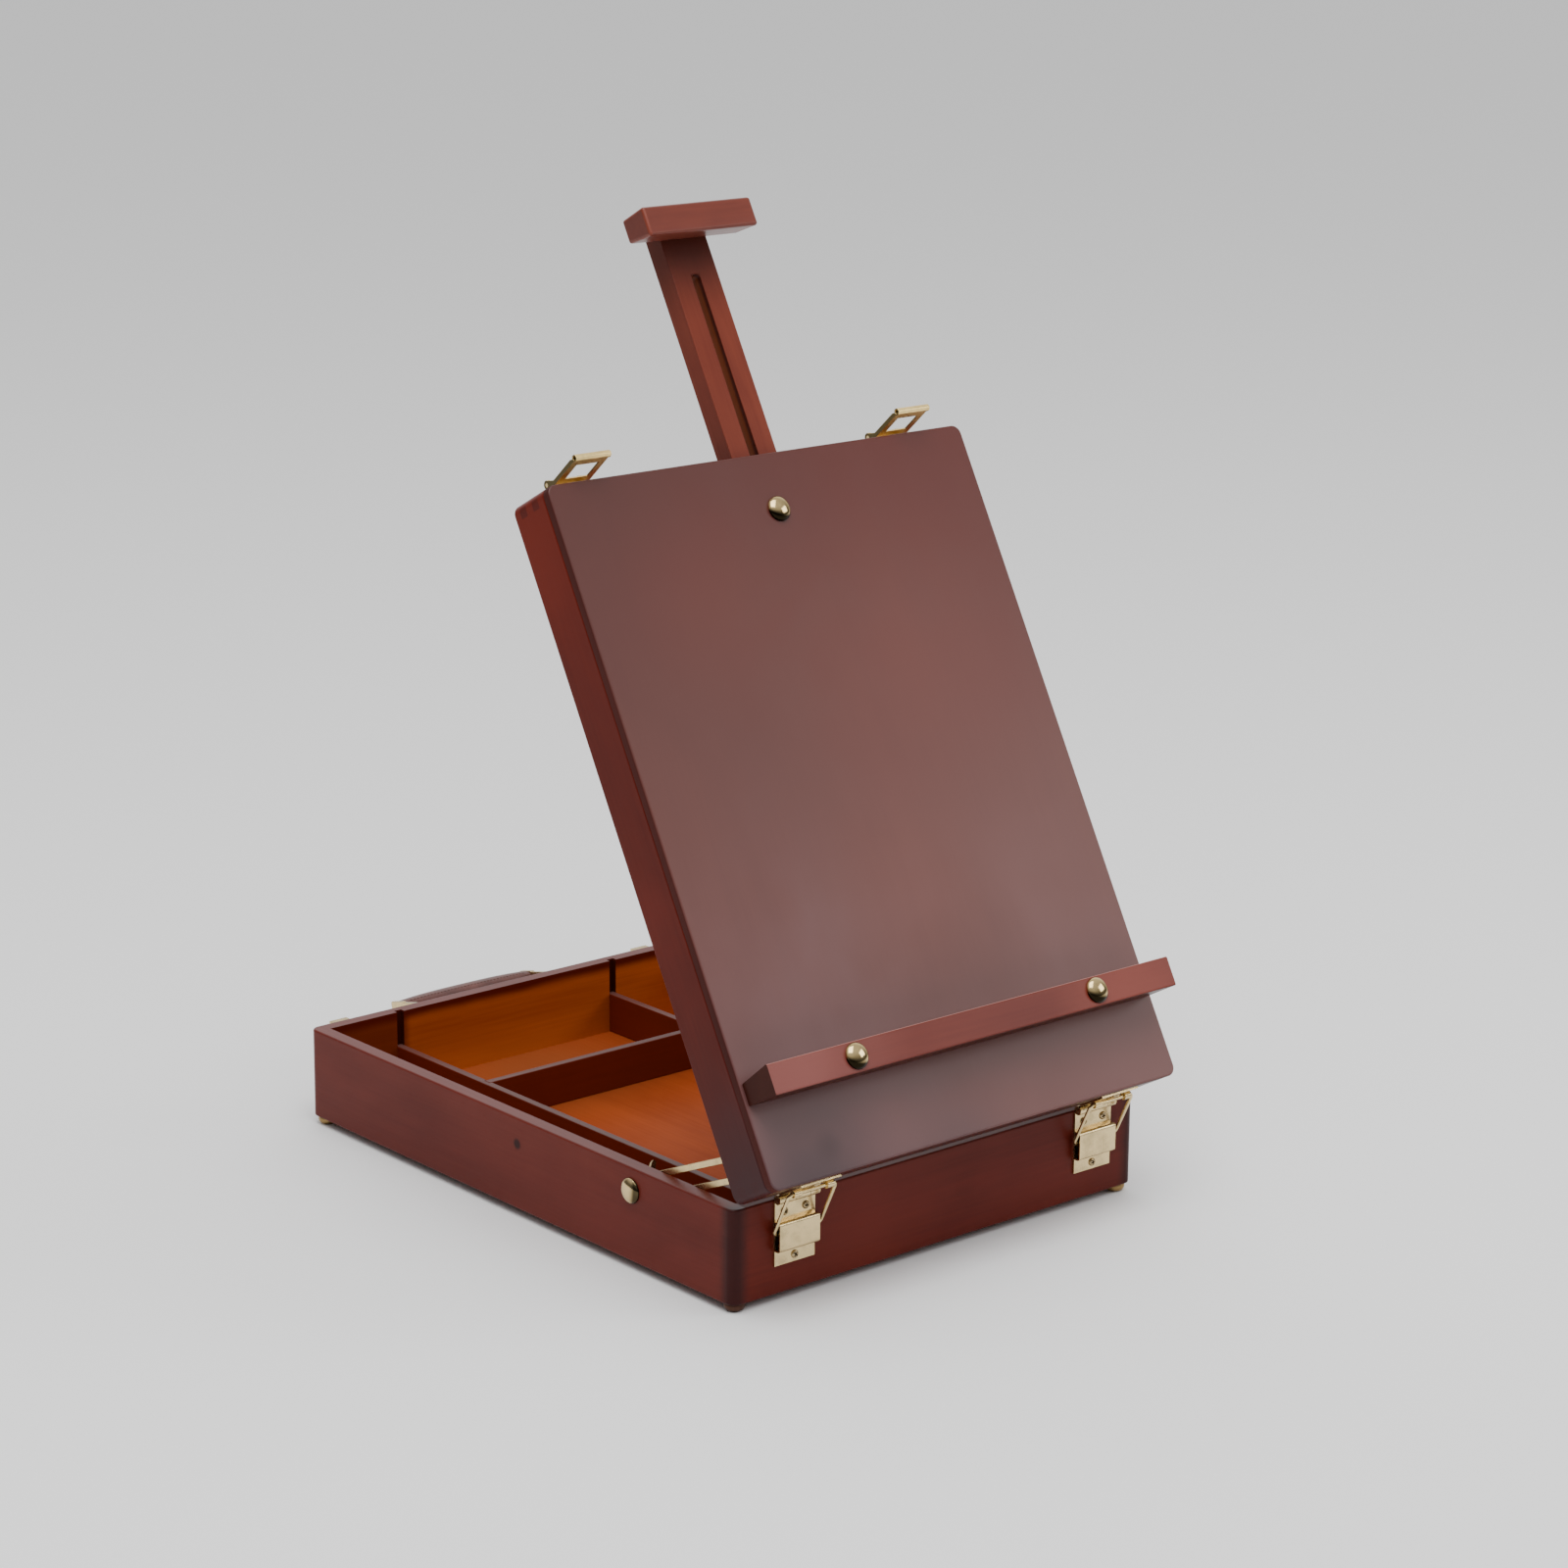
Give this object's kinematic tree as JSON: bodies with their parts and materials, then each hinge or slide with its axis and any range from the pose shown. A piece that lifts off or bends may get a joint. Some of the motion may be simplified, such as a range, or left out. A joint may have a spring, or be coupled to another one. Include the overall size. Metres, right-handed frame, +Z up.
{
  "type": "pochade box",
  "caption": "Tabletop sketch-box easel: compartment tray under a hinged lid that is the drawing board, with a canvas ledge, sliding mast, slotted stays, hasps and a carrying handle",
  "frame": {"origin": "on the table, under the middle of the whole object's outline, with the tray's middle 5.35 mm nearer the hinges", "axes": "+Z up; X across the box's width; the hinges are at -Y and the carrying handle at +Y"},
  "size_m": [0.2788, 0.4253, 0.5024],
  "materials": {
    "stained_wood": "satin stain and varnish",
    "light_wood": "stained, thin varnish",
    "floor_ply": "thin varnish over plywood",
    "brass": "polished, pale plated brass",
    "leather": "smooth brown leather"
  },
  "bodies": {
    "tray": {"divider_cross": "light_wood", "divider_long": "light_wood", "divider_rear": "light_wood", "foot_front_left": "brass", "foot_front_right": "brass", "foot_rear_left": "brass", "foot_rear_right": "brass", "handle_bracket_left": "brass", "handle_bracket_right": "brass", "handle_pins": "brass", "hinge_leaf_tray_left": "brass", "hinge_leaf_tray_right": "brass", "hinge_screws_tray": "brass", "latch_keeper_left": "brass", "latch_keeper_right": "brass", "rear_screws": "brass", "stay_bolts": "brass", "stay_washers": "brass", "tray_floor": "floor_ply", "tray_wall_front": "stained_wood", "tray_wall_left": "stained_wood", "tray_wall_rear": "stained_wood", "tray_wall_right": "stained_wood"},
    "lid": {"hasp_pins": "brass", "hasp_plate_left": "brass", "hasp_plate_right": "brass", "hasp_screws": "brass", "hinge_leaf_lid_left": "brass", "hinge_leaf_lid_right": "brass", "hinge_pins": "brass", "hinge_screws_lid": "brass", "ledge_bar": "stained_wood", "ledge_bolts": "brass", "lid_panel": "stained_wood", "lid_rail_hinge": "stained_wood", "lid_rail_left": "stained_wood", "lid_rail_right": "stained_wood", "lid_rail_top": "stained_wood", "mast_bolt": "brass", "mast_guide_left": "stained_wood", "mast_guide_right": "stained_wood", "mast_washer": "brass", "stay_screws": "brass"},
    "mast": {"mast_slat": "stained_wood", "mast_head": "stained_wood"},
    "stay_left_body": {"stay_left": "brass"},
    "stay_right_body": {"stay_right": "brass"},
    "wire_left": {"hinge_wire_left": "brass"},
    "wire_right": {"hinge_wire_right": "brass"},
    "lever_left": {"hasp_lever_left": "brass"},
    "lever_right": {"hasp_lever_right": "brass"},
    "handle": {"handle_grip": "leather", "handle_fitting_left": "brass", "handle_fitting_right": "brass"},
    "stay_nut_left": {"stay_wing_nut_left": "brass"},
    "stay_nut_right": {"stay_wing_nut_right": "brass"},
    "mast_nut": {"mast_wing_nut": "brass"},
    "ledge_nut_left": {"ledge_wing_nut_left": "brass"},
    "ledge_nut_right": {"ledge_wing_nut_right": "brass"}
  },
  "joints": [
    {"name": "lid_hinge", "type": "hinge", "parent": "tray", "child": "lid", "pos_m": [0, -0.18535, 0.054], "axis": [1, 0, 0], "range_deg": [-61, 5]},
    {"name": "mast_slide", "type": "slide", "parent": "lid", "child": "mast", "axis": [0, 0.4848, 0.8746], "range_m": [-0.1165, 0.128]},
    {"name": "stay_left_pivot", "type": "hinge", "parent": "lid", "child": "stay_left_body", "pos_m": [-0.126, -0.18348, 0.07491], "axis": [1, 0, 0], "range_deg": [-6, 65]},
    {"name": "stay_right_pivot", "type": "hinge", "parent": "lid", "child": "stay_right_body", "pos_m": [0.126, -0.18348, 0.07491], "axis": [1, 0, 0], "range_deg": [-6, 65]},
    {"name": "wire_left_pivot", "type": "hinge", "parent": "lid", "child": "wire_left", "pos_m": [-0.097, -0.19672, 0.0603], "axis": [1, 0, 0], "range_deg": [-3.5, 37]},
    {"name": "wire_right_pivot", "type": "hinge", "parent": "lid", "child": "wire_right", "pos_m": [0.104, -0.19672, 0.0603], "axis": [1, 0, 0], "range_deg": [-3.5, 37]},
    {"name": "hasp_left_pivot", "type": "hinge", "parent": "lid", "child": "lever_left", "pos_m": [-0.1102, -0.02238, 0.3779], "axis": [1, 0, 0], "range_deg": [-167, 5]},
    {"name": "hasp_right_pivot", "type": "hinge", "parent": "lid", "child": "lever_right", "pos_m": [0.0982, -0.02238, 0.3779], "axis": [1, 0, 0], "range_deg": [-167, 5]},
    {"name": "handle_swing", "type": "hinge", "parent": "tray", "child": "handle", "pos_m": [-0.0078, 0.17665, 0.0476], "axis": [1, 0, 0], "range_deg": [-70, 75]},
    {"name": "stay_nut_left_turn", "type": "hinge", "parent": "tray", "child": "stay_nut_left", "pos_m": [-0.12, -0.10485, 0.0415], "axis": [1, 0, 0], "continuous": true},
    {"name": "stay_nut_right_turn", "type": "hinge", "parent": "tray", "child": "stay_nut_right", "pos_m": [0.12, -0.10485, 0.0415], "axis": [1, 0, 0], "continuous": true},
    {"name": "mast_nut_turn", "type": "hinge", "parent": "lid", "child": "mast_nut", "pos_m": [0, -0.03508, 0.34572], "axis": [0, -0.8746, 0.4848], "continuous": true},
    {"name": "ledge_nut_left_turn", "type": "hinge", "parent": "lid", "child": "ledge_nut_left", "pos_m": [-0.08, -0.17914, 0.11058], "axis": [0, -0.8746, 0.4848], "continuous": true},
    {"name": "ledge_nut_right_turn", "type": "hinge", "parent": "lid", "child": "ledge_nut_right", "pos_m": [0.08, -0.17914, 0.11058], "axis": [0, -0.8746, 0.4848], "continuous": true}
  ],
  "couplings": [
    {"joint": "stay_left_pivot", "follows": "lid_hinge", "ratio": -1.05},
    {"joint": "stay_right_pivot", "follows": "lid_hinge", "ratio": -1.05},
    {"joint": "wire_left_pivot", "follows": "lid_hinge", "ratio": -0.595},
    {"joint": "wire_right_pivot", "follows": "lid_hinge", "ratio": -0.595}
  ]
}
